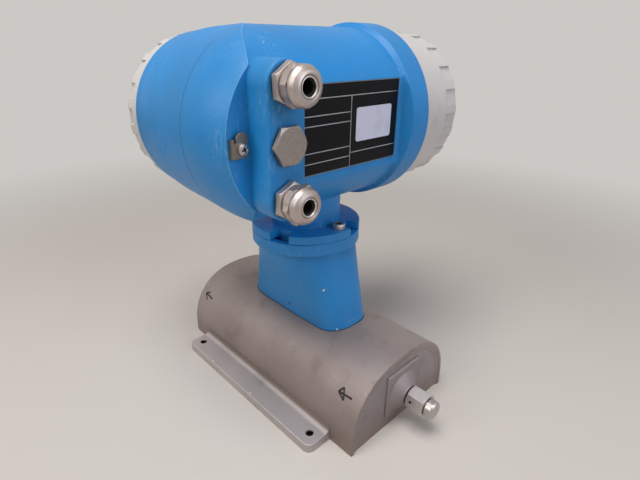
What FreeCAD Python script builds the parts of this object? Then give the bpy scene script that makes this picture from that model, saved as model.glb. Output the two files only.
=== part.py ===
import FreeCAD, Part
import math
import os

# Coriolis mass flow meter, in millimetres. +X is the pipe's inlet, +Y the display end, +Z up.
# The origin is on the floor at the centre of the four foot holes.

V = FreeCAD.Vector
os.makedirs("parts", exist_ok=True)

# Foot
FOOT_LENGTH = 180.0
FOOT_WIDTH = 166.0
FOOT_THICK = 8.0
HOLE_X = 160.0
HOLE_Y = 145.0
HOLE_R = 3.25
WELD_R = 6.0

# Sensor body
BODY_LENGTH = 227.0
BODY_HALF = 60.0
BODY_TOP = 66.0
ARCH_STRAIGHT = 8.0
ARCH_POWER = 2.4
SHELL_WALL = 3.0
BASE_THICK = 11.0
END_INSET = 1.5
END_THICK = 5.0
PIPE_Z = 28.6

# Process fittings, measured along +X
BLOCK_HALF = 20.0
BLOCK_TOP = 52.0
BLOCK_X = 114.0
CONE_X = 121.5
CONE_R = 17.4
NUT_X = 123.0
NUT_END = 138.5
NUT_FLATS = 18.0
PLUG_END = 145.5

# Measuring tube
TUBE_R = 2.0
TUBE_BORE = 1.6
TUBE_RISE = 50.0
TUBE_FLAT = 40.0
TUBE_FOOT = 62.0
SUPPORT_X = 75.0
PICKOFF_X = 28.0

# Pedestal and swivel
PED_HALF_X = 62.7
PED_HALF_Y = 23.5
PED_CORNER = 20.0
PED_X = -1.4
PED_TOP_R = 43.0
PED_TOP_Y = -1.6
PED_WALL = 4.0
SWIVEL_Y = -4.0
RING_R = 46.7
RING_Z = 133.0
RING_TOP = 143.5
FLANGE_Z = 143.8
FLANGE_TOP = 150.5
SPIGOT_R = 31.7
NECK_R = 29.5
SCREW_R = 38.5
NOTCH_ANGLE = 20.6
NOTCH_SPAN = 21.0

# Transmitter housing
AXIS_Z = 234.3
BARREL_R = 66.3
BARREL_Y = 39.0
CHAMBER_R = 57.0
CROSS_Y = -49.2
CROSS_X = -68.0
CROSS_RIM_R = 62.7
CROSS_BOW = [(-62, 62.7), (-42, 65.2), (-15, 66.5), (12, 67.9), (28, 67.8), (40, 65.2), (52, 60.5), (70, 46)]
MITRE_X = -12.0
COLLAR_R = 70.0
COLLAR_Y = 42.0
COLLAR_END = 64.0
FLAT_X = 50.0
FLAT_WALL = 7.0
PAD_X = 58.0
PAD_Y = 40.2
PAD_END = 43.0
PAD_WALL = 6.0

# Gland boss and cable entries
BOSS_X = 69.0
BOSS_Y = -80.7
BOSS_HALF = 14.2
BOSS_HEIGHT = 47.8
BOSS_ROOT = 38.0
ENTRY_PITCH = 33.9
ENTRY_R = 10.0
ENTRY_SEAL = 1.4
GLAND_FLATS = 22.6
GROUND_Y = -102.3
GROUND_Z = 232.5

# Covers
DISPLAY_R = 64.0
DISPLAY_END = 116.0
TERMINAL_R = 61.0
TERMINAL_END = -88.5
GRIPS = 20
GRIP_DEPTH = 1.8
GAP = 0.3

AXES = {"x": V(1, 0, 0), "y": V(0, 1, 0), "z": V(0, 0, 1)}


def spot(axis, along, u, v):
    """Point at a distance along an axis; u and v are its two other coordinates in x, y, z order."""
    places = {"x": V(along, u, v), "y": V(u, along, v), "z": V(u, v, along)}
    return places[axis]


def rod(axis, start, end, radius, u, v):
    return Part.makeCylinder(radius, end - start, spot(axis, start, u, v), AXES[axis])


def ring(axis, start, end, outer, inner, u, v):
    return rod(axis, start, end, outer, u, v).cut(rod(axis, start, end, inner, u, v))


def block(x0, x1, y0, y1, z0, z1):
    return Part.makeBox(x1 - x0, y1 - y0, z1 - z0, V(x0, y0, z0))


def turned(axis, profile, u, v, bow=()):
    """Turn an outline of (along, radius) points about an axis; a bow closes it with one smooth curve."""
    side = V(1, 0, 0) if axis == "z" else V(0, 0, 1)
    points = [spot(axis, along, u, v) + side * radius for along, radius in profile]
    closing = [spot(axis, along, u, v) + side * radius for along, radius in bow]
    wire = Part.makePolygon(points + closing[:1] + points[:1])
    if closing:
        curve = Part.BSplineCurve()
        curve.interpolate(closing)
        wire = Part.Wire(Part.makePolygon(points).Edges + [curve.toShape()])
    solid = Part.Face(wire).revolve(spot(axis, 0, u, v), AXES[axis], 360)
    if solid.Volume < 0:
        solid.reverse()
    return solid


def hexagon(axis, start, end, flats, u, v, turn):
    """Hexagonal bar with its first corner turned from the second free axis."""
    first = V(1, 0, 0) if axis == "z" else V(0, 0, 1)
    second = AXES[axis].cross(first)
    corner = flats / math.sqrt(3.0)
    points = []
    for i in range(7):
        angle = math.radians(turn + 60 * i)
        outward = first * math.cos(angle) + second * math.sin(angle)
        points.append(spot(axis, start, u, v) + outward * corner)
    face = Part.Face(Part.makePolygon(points))
    return face.extrude(AXES[axis] * (end - start))


def nut_shape(axis, start, end, flats, u, v, turn, ends):
    """Hexagonal bar whose named ends are chamfered to a round face."""
    corner = flats / math.sqrt(3.0)
    face = flats / 2.0 - 0.2
    slope = (corner - face) * 0.6
    low = face if "a" in ends else corner
    high = face if "b" in ends else corner
    profile = [(start, 0), (start, low), (start + slope, corner)]
    profile = profile + [(end - slope, corner), (end, high), (end, 0)]
    return hexagon(axis, start, end, flats, u, v, turn).common(turned(axis, profile, u, v))


def arch(half, top, start, end):
    """Arch with straight sides and a superellipse crown, run along X."""
    points = []
    for i in range(25):
        angle = math.pi * i / 24
        c = math.cos(angle)
        s = abs(math.sin(angle))
        y = half * math.copysign(abs(c) ** (2 / ARCH_POWER), c)
        z = ARCH_STRAIGHT + (top - ARCH_STRAIGHT) * s ** (2 / ARCH_POWER)
        points.append(V(start, y, z))
    crown = Part.BSplineCurve()
    crown.interpolate(points)
    foot = [points[-1], V(start, -half, 0), V(start, half, 0), points[0]]
    wire = Part.Wire([crown.toShape()] + Part.makePolygon(foot).Edges)
    return Part.Face(wire).extrude(V(end - start, 0, 0))


def rounded(half_x, half_y, radius, z):
    """Rounded rectangle in plan, as four sides and four corners starting at the +X side."""
    a = half_x - radius
    b = half_y - radius
    k = radius * math.sqrt(0.5)
    corners = [(a, b, 1, 1), (-a, b, -1, 1), (-a, -b, -1, -1), (a, -b, 1, -1)]
    starts = [V(half_x, b, z), V(-a, half_y, z), V(-half_x, -b, z), V(a, -half_y, z)]
    ends = [V(a, half_y, z), V(-half_x, b, z), V(-a, -half_y, z), V(half_x, -b, z)]
    edges = []
    for i in range(4):
        x, y, sx, sy = corners[i]
        edges.append(Part.makeLine(ends[i - 1], starts[i]))
        edges.append(Part.Arc(starts[i], V(x + sx * k, y + sy * k, z), ends[i]).toShape())
    return Part.Wire(edges)


def split_circle(radius, z):
    """Circle cut into eight arcs that pair with the sides and corners of a rounded rectangle."""
    cuts = [-6, 6, 50, 130, 174, 186, 230, 310, 354]
    edges = []
    for low, high in zip(cuts, cuts[1:]):
        arc = [math.radians(low), math.radians((low + high) / 2), math.radians(high)]
        edges.append(Part.Arc(*[V(radius * math.cos(t), radius * math.sin(t), z) for t in arc]).toShape())
    return Part.Wire(edges)


def pill(x, half, height):
    """Upright oblong with round ends, in the plane of the gland boss face."""
    low = BOSS_Y - half
    high = BOSS_Y + half
    bottom = AXIS_Z - height + half
    top = AXIS_Z + height - half
    edges = [Part.makeLine(V(x, low, top), V(x, low, bottom))]
    edges.append(Part.Arc(V(x, low, bottom), V(x, BOSS_Y, bottom - half), V(x, high, bottom)).toShape())
    edges.append(Part.makeLine(V(x, high, bottom), V(x, high, top)))
    edges.append(Part.Arc(V(x, high, top), V(x, BOSS_Y, top + half), V(x, low, top)).toShape())
    return Part.Wire(edges)


def sector(inner, outer, middle, span, z0, z1):
    """Wedge of a ring about the swivel axis, given by its middle direction and its span."""
    a = math.radians(middle - span / 2)
    b = math.radians(middle + span / 2)
    points = []
    for radius, angle in [(inner, a), (outer, a), (outer, b), (inner, b), (inner, a)]:
        points.append(V(radius * math.cos(angle), SWIVEL_Y + radius * math.sin(angle), z0))
    return Part.Face(Part.makePolygon(points)).extrude(V(0, 0, z1 - z0))


def elbow(cross, main, flat):
    """Two crossing barrels, one to -X and one to +Y, whose overlap is a mitred corner with a flat on it."""
    left = cross.common(block(-200, MITRE_X, -200, 100, 100, 400))
    front = main.common(block(-100, 100, CROSS_Y, 100, 100, 400))
    joined = cross.common(main).fuse([left, front]).removeSplitter()
    return joined.cut(block(flat, 90, -160, BOSS_Y, 140, 330))


def bent(points, radius):
    """Path through points in the upright plane of the pipe, with each corner rounded."""
    edges = []
    last = points[0]
    for before, at, after in zip(points, points[1:], points[2:]):
        back = (before - at).normalize()
        ahead = (after - at).normalize()
        half = back.getAngle(ahead) / 2
        reach = radius / math.tan(half)
        start = at + back * reach
        end = at + ahead * reach
        middle = at + (back + ahead).normalize() * (radius / math.sin(half) - radius)
        edges.append(Part.makeLine(last, start))
        edges.append(Part.Arc(start, middle, end).toShape())
        last = end
    edges.append(Part.makeLine(last, points[-1]))
    return Part.Wire(edges)


def flip(shape):
    """The same piece at the opposite end of the pipe."""
    return shape.mirror(V(0, 0, 0), V(1, 0, 0))


def save(name, shape):
    shape.exportStep("parts/" + name + ".step")


# Sensor shell: formed half-round cover, open below, with a hole for the feed-through
half_length = BODY_LENGTH / 2
outer_arch = arch(BODY_HALF, BODY_TOP, -half_length, half_length)
inner_arch = arch(BODY_HALF - SHELL_WALL, BODY_TOP - SHELL_WALL, -half_length, half_length)
shell = outer_arch.cut(inner_arch).cut(rod("z", 50, 80, 9, 0, 0))
save("sensor_shell", shell)

base_end = half_length - END_INSET
base = block(-base_end, base_end, -56.9, 56.9, 0, BASE_THICK)
save("base_plate", base)

# End plates stand on the base plate inside the shell, each around a square weld-in block
end_arch = arch(BODY_HALF - SHELL_WALL, BODY_TOP - SHELL_WALL, base_end - END_THICK, base_end)
square = block(90, 130, -BLOCK_HALF, BLOCK_HALF, 0, BLOCK_TOP)
end_plate = end_arch.cut(block(90, 130, -70, 70, -1, BASE_THICK)).cut(square)
save("end_plate_inlet", end_plate)
save("end_plate_outlet", flip(end_plate))

fitting = block(100, BLOCK_X, -BLOCK_HALF, BLOCK_HALF, BASE_THICK, BLOCK_TOP)
rim = [e for e in fitting.Edges if e.CenterOfMass.x > BLOCK_X - 0.1 and e.CenterOfMass.z > BASE_THICK + 1]
fitting = fitting.makeFillet(1.5, rim)
cone = [(BLOCK_X - 1, 0), (BLOCK_X - 1, CONE_R), (BLOCK_X, CONE_R), (CONE_X - 1.2, 9.2), (CONE_X, 8.6)]
cone = cone + [(CONE_X, 6.2), (131, 6.2), (131, 0)]
fitting = fitting.fuse(turned("x", cone, 0, PIPE_Z)).cut(rod("x", 90, 140, TUBE_BORE, 0, PIPE_Z))
fitting = fitting.cut(rod("x", 99, 106, TUBE_R, 0, PIPE_Z))
save("inlet_block", fitting)
save("outlet_block", flip(fitting))

seal_ring = ring("x", CONE_X, NUT_X - GAP, 8.2, 6.2, 0, PIPE_Z)
save("inlet_ring", seal_ring)
save("outlet_ring", flip(seal_ring))

# Coupling nut with a leak hole on one flat, over a blanking plug that closes the pipe
nut = nut_shape("x", NUT_X, NUT_END, NUT_FLATS, 0, PIPE_Z, 45, "ab")
nut = nut.cut(rod("x", NUT_X - 1, 134, 6.2 + GAP, 0, PIPE_Z)).cut(rod("x", 130, 140, 5.6, 0, PIPE_Z))
leak_way = V(0, -math.sin(math.radians(75)), math.cos(math.radians(75)))
leak = Part.makeCylinder(0.9, 20, V(127.5, 0, PIPE_Z), leak_way)
nut = nut.cut(leak)
save("inlet_nut", nut)
save("outlet_nut", flip(nut))

plug = [(131, 0), (131, 6.2), (133.7, 6.2), (133.7, 5.3), (139.3, 5.3), (139.3, 7.3), (144.2, 7.3)]
plug = plug + [(PLUG_END, 6.0), (PLUG_END, 0)]
plug = turned("x", plug, 0, PIPE_Z)
save("inlet_plug", plug)
save("outlet_plug", flip(plug))

# Foot plates: welded along the shell with a concave fillet, rounded outer corners, two holes each
foot_half = FOOT_WIDTH / 2
weld_y = -BODY_HALF - WELD_R
weld_z = FOOT_THICK + WELD_R
dip = WELD_R * (1 - math.sqrt(0.5))
foot_x = -FOOT_LENGTH / 2
outline = [V(foot_x, weld_y, FOOT_THICK), V(foot_x, -foot_half, FOOT_THICK), V(foot_x, -foot_half, 0)]
outline = outline + [V(foot_x, -BODY_HALF, 0), V(foot_x, -BODY_HALF, weld_z)]
weld_middle = V(foot_x, -BODY_HALF - dip, FOOT_THICK + dip)
weld = Part.Arc(outline[-1], weld_middle, outline[0]).toShape()
foot = Part.Face(Part.Wire(Part.makePolygon(outline).Edges + [weld])).extrude(V(FOOT_LENGTH, 0, 0))
posts = [e for e in foot.Edges if e.CenterOfMass.y < 0.01 - foot_half and e.Length < FOOT_THICK + 0.1]
foot = foot.makeFillet(6.0, posts)
level = [e for e in foot.Edges if abs(e.CenterOfMass.z - FOOT_THICK) < 0.01]
brow = [e for e in level if e.CenterOfMass.y < weld_y - 1]
foot = foot.makeFillet(0.8, brow)
for x in (-HOLE_X / 2, HOLE_X / 2):
    foot = foot.cut(rod("z", -1, FOOT_THICK + 1, HOLE_R, x, -HOLE_Y / 2))
foot = foot.cut(outer_arch)
save("foot_near", foot)
save("foot_far", foot.mirror(V(0, 0, 0), V(0, 1, 0)))

# Measuring tube: one bent tube between the two blocks, on two supports
path = [V(-106, 0, PIPE_Z), V(-TUBE_FOOT, 0, PIPE_Z), V(-TUBE_FLAT, 0, TUBE_RISE)]
path = path + [V(TUBE_FLAT, 0, TUBE_RISE), V(TUBE_FOOT, 0, PIPE_Z), V(106, 0, PIPE_Z)]
spine = bent(path, 18.0)
skins = []
for radius in (TUBE_R, TUBE_BORE):
    circle = Part.Wire(Part.makeCircle(radius, path[0], V(1, 0, 0)))
    skins.append(spine.makePipeShell([circle], True, False))
save("measuring_tube", skins[0].cut(skins[1]))

support = block(SUPPORT_X - 6, SUPPORT_X + 6, -14, 14, BASE_THICK, 36)
support = support.cut(rod("x", 60, 90, TUBE_R, 0, PIPE_Z))
save("inlet_support", support)
save("outlet_support", flip(support))

save("coil_carrier", block(-40, 40, -9, 9, BASE_THICK, 18))
coils = [("drive", 0, 6.5, 43), ("pickoff_inlet", PICKOFF_X, 5, 42), ("pickoff_outlet", -PICKOFF_X, 5, 42)]
for name, x, radius, top in coils:
    spool = [(18, 2.6), (18, radius), (20, radius), (20, radius - 1.2), (top - 2, radius - 1.2)]
    spool = spool + [(top - 2, radius), (top, radius), (top, 2.6)]
    save(name + "_coil", turned("z", spool, x, 0))
    magnet = rod("z", 30, TUBE_RISE, 2.2, x, 0).cut(rod("x", -50, 50, TUBE_R, 0, TUBE_RISE))
    save(name + "_magnet", magnet)

probe = block(84, 92, -1.8, 1.8, PIPE_Z, PIPE_Z + 4.5).cut(rod("x", 80, 96, TUBE_R, 0, PIPE_Z))
save("temperature_sensor", probe)

feed = rod("z", 61, 70, 9, 0, 0)
for i in range(6):
    angle = math.radians(60 * i)
    feed = feed.fuse(rod("z", 57, 76, 0.7, 5 * math.cos(angle), 5 * math.sin(angle)))
save("feedthrough", feed)

# Pedestal: hollow column from an oblong foot on the shell to a round top, with the swivel ring
skins = []
for wall in (0, PED_WALL):
    low = rounded(PED_HALF_X - wall, PED_HALF_Y - wall, PED_CORNER - wall, 58)
    high = split_circle(PED_TOP_R - wall, RING_Z)
    low.translate(V(PED_X, 0, 0))
    high.translate(V(PED_X, PED_TOP_Y, 0))
    skins.append(Part.makeLoft([low, high], True, True))
column, hollow = skins
crown = rod("z", RING_Z, RING_TOP, RING_R, 0, SWIVEL_Y)
lips = [e for e in crown.Edges if len(e.Vertexes) == 1]
crown = crown.makeFillet(0.8, lips)
pedestal = column.fuse(crown).cut(hollow).cut(outer_arch)
pedestal = pedestal.cut(rod("z", RING_Z - 5, RING_TOP + 1, SPIGOT_R + GAP, 0, SWIVEL_Y))
pedestal = pedestal.cut(ring("z", 136.5, RING_TOP + 1, SCREW_R + 3.1, SCREW_R - 3.1, 0, SWIVEL_Y))
save("pedestal", pedestal)

# Transmitter housing: mitred elbow of two barrels with a collar, a neck, a notched flange and a gland boss
cross = [CROSS_BOW[-1], (CROSS_BOW[-1][0], 0), (CROSS_X, 0), (CROSS_X, CROSS_RIM_R), CROSS_BOW[0]]
cross = turned("x", cross, CROSS_Y, AXIS_Z, CROSS_BOW)
main = [(CROSS_Y - 75, 0), (CROSS_Y - 75, BARREL_R), (BARREL_Y, BARREL_R)]
main = main + [(COLLAR_Y, COLLAR_R), (COLLAR_END - 1, COLLAR_R)]
main = main + [(COLLAR_END, COLLAR_R - 1), (COLLAR_END, 0)]
housing = elbow(cross, turned("y", main, 0, AXIS_Z), FLAT_X)

# Flat pad for the nameplate, from the boss to a slope up to the collar
pad = [(PAD_X, BOSS_Y), (PAD_X, PAD_Y), (COLLAR_R, PAD_END), (90, PAD_END), (90, BOSS_Y), (PAD_X, BOSS_Y)]
pad = Part.Face(Part.makePolygon([V(x, y, 140) for x, y in pad])).extrude(V(0, 0, 190))
edge = [e for e in pad.Edges if e.CenterOfMass.distanceToPoint(V(PAD_X, PAD_Y, 235)) < 0.01]
housing = housing.cut(pad.makeFillet(3.0, edge))

boss = Part.Face(pill(BOSS_ROOT, BOSS_HALF, BOSS_HEIGHT)).extrude(V(BOSS_X - BOSS_ROOT, 0, 0))
edge = [e for e in boss.Edges if abs(e.CenterOfMass.x - BOSS_X) < 0.01]
boss = boss.makeFillet(1.5, edge)
neck = rod("z", FLANGE_Z, 190, NECK_R, 0, SWIVEL_Y)
flange = rod("z", FLANGE_Z, FLANGE_TOP, RING_R, 0, SWIVEL_Y)
lips = [e for e in flange.Edges if len(e.Vertexes) == 1 and e.CenterOfMass.z > FLANGE_Z + 1]
flange = flange.makeFillet(0.8, lips)
for i in range(4):
    flange = flange.cut(sector(36, 60, NOTCH_ANGLE + 90 * i, NOTCH_SPAN, 140, 160))
spigot = rod("z", 135, FLANGE_Z, SPIGOT_R, 0, SWIVEL_Y)
spigot = spigot.cut(ring("z", 138, 140.4, SPIGOT_R + 1, 29.7, 0, SWIVEL_Y))
housing = housing.fuse([boss, neck, flange, spigot])

cross = rod("x", CROSS_X - 1, CHAMBER_R + 5, CHAMBER_R, CROSS_Y, AXIS_Z)
main = rod("y", CROSS_Y - CHAMBER_R - 5, 8, CHAMBER_R, 0, AXIS_Z)
behind_pad = block(PAD_X - PAD_WALL, 90, BOSS_Y, PAD_Y + PAD_WALL, 140, 330)
wiring_chamber = elbow(cross, main, FLAT_X - FLAT_WALL).cut(behind_pad)
display_chamber = rod("y", 14, 60, CHAMBER_R, 0, AXIS_Z).cut(behind_pad)
housing = housing.cut(wiring_chamber).cut(display_chamber).cut(rod("y", 48, 70, 59, 0, AXIS_Z))
housing = housing.cut(rod("z", 130, 164, 22, 0, SWIVEL_Y)).cut(rod("z", 150, 190, 5, 0, 20))
for i in (-1, 0, 1):
    housing = housing.cut(rod("x", 40, 80, ENTRY_R, BOSS_Y, AXIS_Z + ENTRY_PITCH * i))
for angle in (2, 182):
    x = SCREW_R * math.cos(math.radians(angle))
    y = SWIVEL_Y + SCREW_R * math.sin(math.radians(angle))
    housing = housing.cut(rod("z", 140, 155, 2.75, x, y))
housing = housing.cut(rod("x", FLAT_X - FLAT_WALL, FLAT_X + 1, 2.0, GROUND_Y, GROUND_Z))
save("transmitter_housing", housing)

swivel_seal = Part.makeTorus(30.7, 1.0, V(0, SWIVEL_Y, 139.2), V(0, 0, 1))
save("swivel_oring", swivel_seal)

screws = []
for angle in (2, 182):
    x = SCREW_R * math.cos(math.radians(angle))
    y = SWIVEL_Y + SCREW_R * math.sin(math.radians(angle))
    head = [(138, 0), (138, 2.5), (FLANGE_TOP, 2.5), (FLANGE_TOP, 5.3), (154, 5.3), (155, 4.6), (155, 0)]
    screw = turned("z", head, x, y)
    screws.append(screw.cut(hexagon("z", 152.2, 156, 5, x, y, 0)))
save("flange_screws", Part.makeCompound(screws))

# Display cover with a window, and the pieces it holds
shape = [(51, 54), (51, 58.7), (60.2, 58.7), (60.2, 56.2), (63.4, 56.2), (63.4, 58.7)]
shape = shape + [(COLLAR_END + GAP, 58.7), (COLLAR_END + GAP, DISPLAY_R)]
glass_y = DISPLAY_END - 6.4
shape = shape + [(DISPLAY_END - 2.6, DISPLAY_R), (DISPLAY_END - 0.8, DISPLAY_R - 1)]
shape = shape + [(DISPLAY_END, DISPLAY_R - 3), (DISPLAY_END, 39.5)]
shape = shape + [(glass_y + 3, 36.5), (glass_y, 36.5), (glass_y, 41.3)]
shape = shape + [(glass_y - 9, 41.3), (glass_y - 9, 46), (glass_y - 12, 54)]
cover = turned("y", shape, 0, AXIS_Z)
grip_z = AXIS_Z + DISPLAY_R - GRIP_DEPTH
grip = block(-6.2, 6.2, DISPLAY_END - 17, DISPLAY_END + 4, grip_z, grip_z + 5)
for i in range(GRIPS):
    cutter = grip.copy()
    cutter.rotate(V(0, 0, AXIS_Z), V(0, 1, 0), 360.0 * i / GRIPS + 5.5)
    cover = cover.cut(cutter)
save("display_cover", cover)
save("display_oring", Part.makeTorus(57.6, 1.1, V(0, 61.8, AXIS_Z), V(0, 1, 0)))
save("window_glass", rod("y", glass_y - 6, glass_y, 41, 0, AXIS_Z))
save("window_ring", ring("y", glass_y - 8.6, glass_y - 6, 41.3, 37, 0, AXIS_Z))

# Electronics on a carrier behind the display
carrier = rod("y", 14, 17, 54, 0, AXIS_Z)
for side in (-1, 1):
    x = 45.5 * side
    rail = block(x - 2, x + 2, 17, 66, AXIS_Z - 24, AXIS_Z + 24)
    for level in (-18, 0, 18):
        groove = block(x - 2 * side - 1.3, x - 2 * side + 1.3, 17, 66, AXIS_Z - 0.8, AXIS_Z + 0.8)
        groove.translate(V(0, 0, level))
        rail = rail.cut(groove)
    carrier = carrier.fuse(rail)
carrier = carrier.cut(rod("y", 10, 20, 10, 0, 203))
carrier = carrier.cut(block(PAD_X - PAD_WALL - 0.5, 60, 10, 20, AXIS_Z - 60, AXIS_Z + 60))
save("module_carrier", carrier)

for name, level in [("io_board", -18), ("amplifier_board", 0), ("power_board", 18)]:
    board = block(-44.6, 44.6, 18, 64, AXIS_Z + level - 0.8, AXIS_Z + level + 0.8)
    top = AXIS_Z + level + 0.8
    if name == "power_board":
        board = board.fuse([block(-30, -4, 24, 48, top, top + 11), rod("z", top, top + 12, 6, 14, 34)])
    if name == "amplifier_board":
        board = board.fuse([block(-12, 12, 28, 52, top, top + 2), block(22, 36, 24, 46, top, top + 5)])
    if name == "io_board":
        board = board.fuse([block(-36, 36, 20, 29, top, top + 9), block(-10, 6, 38, 54, top, top + 2)])
    save(name, board)

screen = block(-47.5, 47.5, 66, 70, AXIS_Z - 24, AXIS_Z + 24)
screen = screen.fuse(block(-38, 38, 70, 82, AXIS_Z - 30, AXIS_Z + 30))
screen = screen.cut(block(-32, 32, 80.5, 90, AXIS_Z - 8, AXIS_Z + 22))
for x in (-18, 0, 18):
    screen = screen.cut(rod("y", 81, 90, 4, x, AXIS_Z - 19))
save("display_module", screen)

# Terminal cover and the terminal block behind it
shape = [(-56, 52), (-56, 56.7), (-63.6, 56.7), (-63.6, 54.2), (-66.8, 54.2), (-66.8, 56.7)]
shape = shape + [(CROSS_X - GAP, 56.7), (CROSS_X - GAP, TERMINAL_R)]
lid_in = TERMINAL_END + 6
shape = shape + [(TERMINAL_END + 2.5, TERMINAL_R), (TERMINAL_END + 0.8, TERMINAL_R - 1)]
shape = shape + [(TERMINAL_END, TERMINAL_R - 3), (TERMINAL_END, 0)]
shape = shape + [(lid_in, 0), (lid_in, 49), (lid_in + 3, 52)]
lid = turned("x", shape, CROSS_Y, AXIS_Z)
grip_z = AXIS_Z + TERMINAL_R - GRIP_DEPTH
grip = block(TERMINAL_END - 5, TERMINAL_END + 10, CROSS_Y - 5.9, CROSS_Y + 5.9, grip_z, grip_z + 5)
for i in range(GRIPS):
    cutter = grip.copy()
    cutter.rotate(V(0, CROSS_Y, AXIS_Z), V(1, 0, 0), 360.0 * i / GRIPS + 16.9)
    lid = lid.cut(cutter)
save("terminal_cover", lid)
save("terminal_oring", Part.makeTorus(55.6, 1.1, V(-65.2, CROSS_Y, AXIS_Z), V(1, 0, 0)))

strip = block(-24, 6, -14, 8, AXIS_Z - 32, AXIS_Z + 32)
for i in range(8):
    z = AXIS_Z - 28 + 8 * i
    strip = strip.cut(block(-25, -14, -9, -4, z - 2.6, z + 2.6)).cut(rod("x", -25, -16, 2.4, 2, z))
save("terminal_block", strip)

# Cable glands, each with a body, a cap nut, a claw ring and a rubber seal, and one blind plug
seat = BOSS_X + ENTRY_SEAL
shank = seat - 12.4
for name, side in [("upper", 1), ("lower", -1)]:
    z = AXIS_Z + ENTRY_PITCH * side
    body = nut_shape("x", seat, seat + 4.6, GLAND_FLATS, BOSS_Y, z, 3 * side, "b")
    stem = [(shank, 7.5), (shank, 9.9), (seat + 12.6, 9.9), (seat + 12.6, 7.5)]
    body = body.fuse(turned("x", stem, BOSS_Y, z)).cut(rod("x", shank, seat + 13, 7.5, BOSS_Y, z))
    save(name + "_gland_body", body)
    save(name + "_gland_oring", ring("x", BOSS_X, seat, 11.1, 9.9, BOSS_Y, z))
    cap = nut_shape("x", seat + 7, seat + 12, GLAND_FLATS, BOSS_Y, z, 24 * side, "a")
    dome = [(seat + 8.6, 10.2), (seat + 8.6, 11.7), (seat + 14.2, 11.7), (seat + 16.6, 10.6)]
    dome = dome + [(seat + 18.2, 8.8), (seat + 18.6, 7.5), (seat + 18.6, 6.9), (seat + 17.3, 5.4)]
    dome = dome + [(seat + 16.8, 5.4), (seat + 16.8, 6.8), (seat + 16.0, 6.8), (seat + 13, 10.2)]
    cap = cap.fuse(turned("x", dome, BOSS_Y, z)).cut(rod("x", seat + 6, seat + 13, 10.2, BOSS_Y, z))
    save(name + "_gland_cap", cap)
    claw = ring("x", seat + 9.1, seat + 16.4, 6.3, 5.4, BOSS_Y, z)
    claw = claw.cut(ring("x", seat + 9, seat + 12.6, 7, 5.9, BOSS_Y, z))
    for i in range(4):
        slit = block(seat + 13.6, seat + 20, BOSS_Y - 8, BOSS_Y + 8, z - 0.5, z + 0.5)
        slit.rotate(V(0, BOSS_Y, z), V(1, 0, 0), 45 * i)
        claw = claw.cut(slit)
    save(name + "_gland_claw", claw)
    seal = [(seat + 1.6, 4.1), (seat + 1.6, 7.5), (seat + 9, 7.5), (seat + 9, 5.4)]
    seal = seal + [(seat + 16.2, 5.4), (seat + 16.2, 4.1)]
    save(name + "_gland_seal", turned("x", seal, BOSS_Y, z))

blind = nut_shape("x", seat, seat + 3, 22.5, BOSS_Y, AXIS_Z, 30, "b")
save("blind_plug", blind.fuse(rod("x", shank, seat, 9.9, BOSS_Y, AXIS_Z)))
save("blind_plug_oring", ring("x", BOSS_X, seat, 11.2, 9.9, BOSS_Y, AXIS_Z))

# Ground clamp on the flat: a folded bracket with a round ear, and its screw
ear_x = FLAT_X + 2.5
ear_top = ear_x + 1.5
leg_y = GROUND_Y - 6.8
leg = block(FLAT_X, ear_top, leg_y, leg_y + 1.5, GROUND_Z - 5.4, GROUND_Z + 6)
ear = block(ear_x, ear_top, leg_y + 1.5, GROUND_Y + 4.2, GROUND_Z - 5.4, GROUND_Z + 4)
ear = ear.fuse(rod("x", ear_x, ear_top, 4.4, GROUND_Y + 0.3, GROUND_Z + 5.4))
spacer = rod("x", FLAT_X, ear_x, 3.8, GROUND_Y, GROUND_Z)
bracket = leg.fuse([ear, spacer]).cut(rod("x", FLAT_X - 1, ear_top + 1, 2.1, GROUND_Y, GROUND_Z))
save("ground_bracket", bracket)
head = [(FLAT_X - 6, 0), (FLAT_X - 6, 2.0), (ear_top, 2.0), (ear_top, 3.7), (ear_top + 1.6, 3.5)]
head = head + [(ear_top + 2.6, 2.2), (ear_top + 2.6, 0)]
clamp_screw = turned("x", head, GROUND_Y, GROUND_Z)
for tilt in (20, 110):
    slot = block(ear_top + 1, ear_top + 3, GROUND_Y - 2.1, GROUND_Y + 2.1, GROUND_Z - 0.5, GROUND_Z + 0.5)
    slot.rotate(V(0, GROUND_Y, GROUND_Z), V(1, 0, 0), tilt)
    clamp_screw = clamp_screw.cut(slot)
save("ground_screw", clamp_screw)

# Bare nameplate on the pad, and a blank label on the nameplate
plates = [("nameplate", PAD_X, 0.6, -63, 36.9, 208, 266.4)]
plates = plates + [("label", PAD_X + 0.6, 0.2, -9.4, 29.1, 225.2, 248.7)]
for name, x, thick, y0, y1, z0, z1 in plates:
    sheet = block(x, x + thick, y0, y1, z0, z1)
    tips = [e for e in sheet.Edges if e.Length < thick + 0.01]
    save(name, sheet.makeFillet(2.0, tips))
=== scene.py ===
# %% [markdown]
# A coriolis mass flow meter weighs the liquid in a pipe by watching a bent tube swing.
# The steel sensor lies on two feet, and a blue cast elbow above it holds the electronics.
# The solids come from CAD, packed as a frame. This lesson dresses them: a camera, soft light,
# one finish for each real material, and the fine surface pieces that CAD leaves out.

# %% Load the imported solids
import math

import bpy
import numpy as np
from mathutils import Matrix, Vector


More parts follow.
